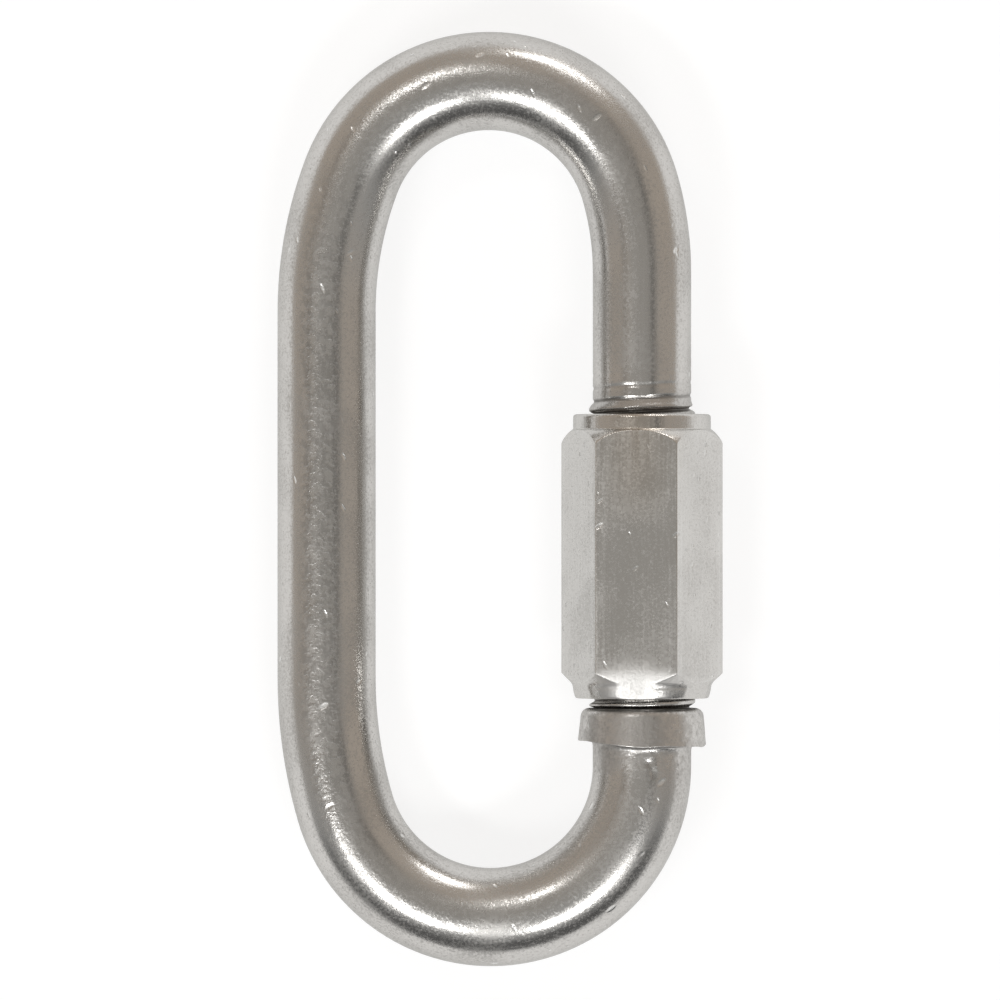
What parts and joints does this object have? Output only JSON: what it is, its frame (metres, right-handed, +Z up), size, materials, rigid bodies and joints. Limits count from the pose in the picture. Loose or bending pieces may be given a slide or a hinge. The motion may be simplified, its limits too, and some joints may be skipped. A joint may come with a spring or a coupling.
{
  "type": "chain quick link",
  "caption": "Oval link bent from round stainless rod, with a collar and a gate that a long hexagonal sleeve nut screws shut, for joining chain ends.",
  "frame": {"origin": "middle of the bounding box in X and Y, on the surface that the link lies on", "axes": "+X towards the nut's side, +Y along the limbs towards the upper bow, +Z up from the surface it lies on"},
  "size_m": [0.0272, 0.057, 0.009],
  "materials": {
    "tumbled_steel": "tumbled and polished stainless rod with fine nicks and scratches",
    "turned_steel": "drawn hexagon bar, bright, with fine cross marks and turned ends"
  },
  "bodies": {
    "link": {"link_body": "tumbled_steel"},
    "nut": {"hex_nut": "turned_steel"}
  },
  "joints": [
    {"name": "nut_travel", "type": "slide", "parent": "link", "child": "nut", "axis": [0, 1, 0], "range_m": [0, 0.0104]}
  ]
}
